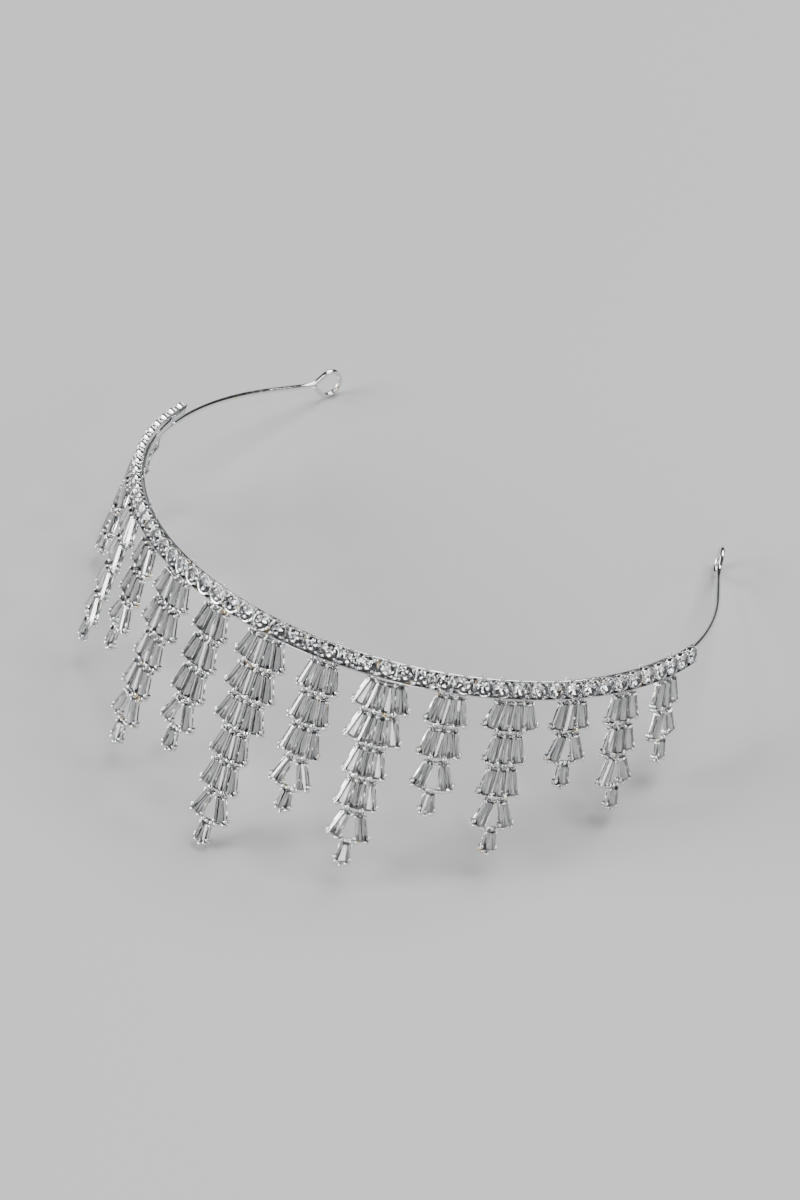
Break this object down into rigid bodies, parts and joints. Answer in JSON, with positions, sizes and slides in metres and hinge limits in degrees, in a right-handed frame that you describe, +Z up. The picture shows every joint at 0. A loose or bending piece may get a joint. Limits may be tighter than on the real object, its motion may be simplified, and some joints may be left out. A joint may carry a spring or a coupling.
{
  "type": "crystal tiara",
  "caption": "Horseshoe tiara of plated metal: a band with a row of round clear stones, a fringe of rigid strands of tapered baguette stones, and wire ends bent into loops.",
  "frame": {"origin": "on the surface that the tiara rests on, under the centre of its bounding box", "axes": "+X along the width of the tiara, to the right seen from its front; +Y to the back of the head; +Z up as the tiara rests on a surface"},
  "size_m": [0.138, 0.1282, 0.044],
  "materials": {
    "plated_metal": "polished silver-coloured plating",
    "crystal": "clear faceted stones in plated claws"
  },
  "bodies": {
    "root": {"band": "plated_metal", "head_strip": "plated_metal", "wire_end_left": "plated_metal", "wire_end_right": "plated_metal", "strand_01": "crystal", "strand_02": "crystal", "strand_03": "crystal", "strand_04": "crystal", "strand_05": "crystal", "strand_06": "crystal", "strand_07": "crystal", "strand_08": "crystal", "strand_09": "crystal", "strand_10": "crystal", "strand_11": "crystal", "strand_12": "crystal", "strand_13": "crystal", "strand_14": "crystal", "strand_15": "crystal"}
  },
  "joints": []
}
